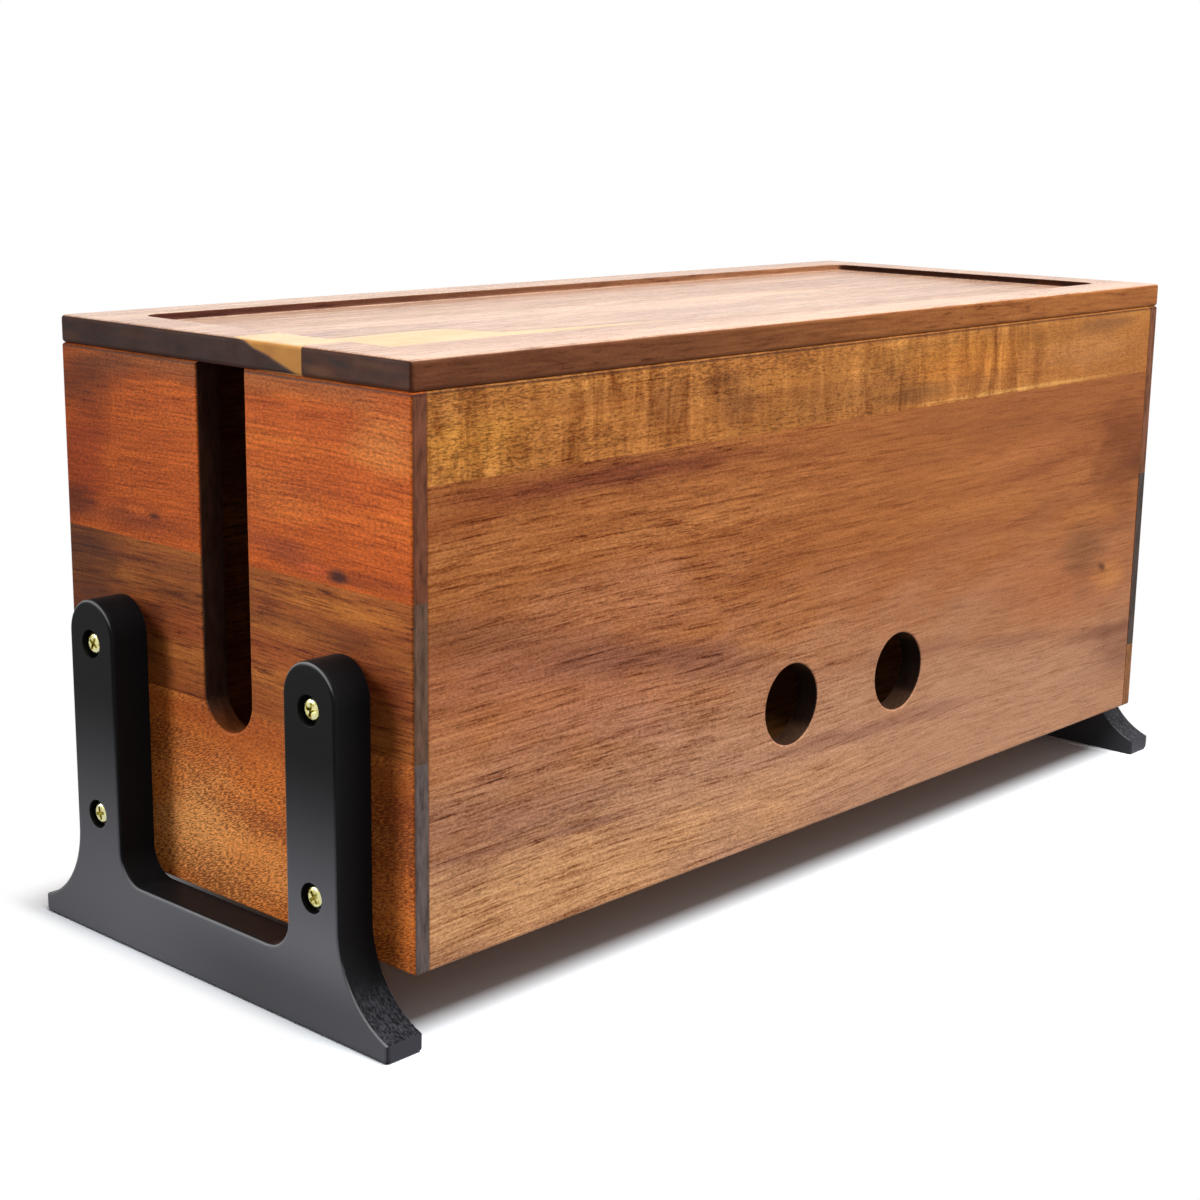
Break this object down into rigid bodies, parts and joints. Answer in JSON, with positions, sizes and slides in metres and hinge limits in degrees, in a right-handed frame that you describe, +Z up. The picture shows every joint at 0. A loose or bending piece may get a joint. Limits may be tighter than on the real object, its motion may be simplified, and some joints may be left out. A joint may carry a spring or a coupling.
{
  "type": "cable management box",
  "caption": "Wooden box on black stand frames that hides a power strip, with a lift-off tray lid, round cable holes in the front wall and an open-topped cable slot in each end.",
  "frame": {"origin": "on the floor, under the middle of the box", "axes": "+X along the box, +Y from the wall with the cable holes to the back, +Z up"},
  "size_m": [0.49, 0.193, 0.224],
  "materials": {
    "acacia_golden": "satin oil",
    "acacia_red_brown": "satin oil",
    "acacia_orange": "satin oil",
    "acacia_tan": "satin oil",
    "acacia_dark": "satin oil",
    "black_paint": "satin black paint on wood",
    "zinc_steel": "yellow zinc plating"
  },
  "bodies": {
    "box": {"front_lower_stave": "acacia_red_brown", "front_upper_stave": "acacia_golden", "back_lower_stave": "acacia_tan", "back_middle_stave": "acacia_golden", "back_upper_stave": "acacia_red_brown", "left_end_lower_stave": "acacia_tan", "left_end_middle_front_stave": "acacia_golden", "left_end_middle_back_stave": "acacia_golden", "left_end_upper_front_stave": "acacia_orange", "left_end_upper_back_stave": "acacia_orange", "right_end_lower_stave": "acacia_red_brown", "right_end_middle_stave": "acacia_orange", "right_end_upper_front_stave": "acacia_golden", "right_end_upper_back_stave": "acacia_golden", "bottom_front_stave": "acacia_tan", "bottom_middle_stave": "acacia_golden", "bottom_back_stave": "acacia_tan", "left_stand": "black_paint", "right_stand": "black_paint", "left_stand_screws": "zinc_steel", "right_stand_screws": "zinc_steel"},
    "lid": {"lid_front_stave": "acacia_red_brown", "lid_middle_stave": "acacia_dark", "lid_back_stave": "acacia_red_brown", "lid_front_rail": "acacia_golden", "lid_back_rail": "acacia_golden", "front_rail_screws": "zinc_steel", "back_rail_screws": "zinc_steel"}
  },
  "joints": [
    {"name": "lid_lift", "type": "slide", "parent": "box", "child": "lid", "axis": [0, 0, 1], "range_m": [0, 0.12]}
  ]
}
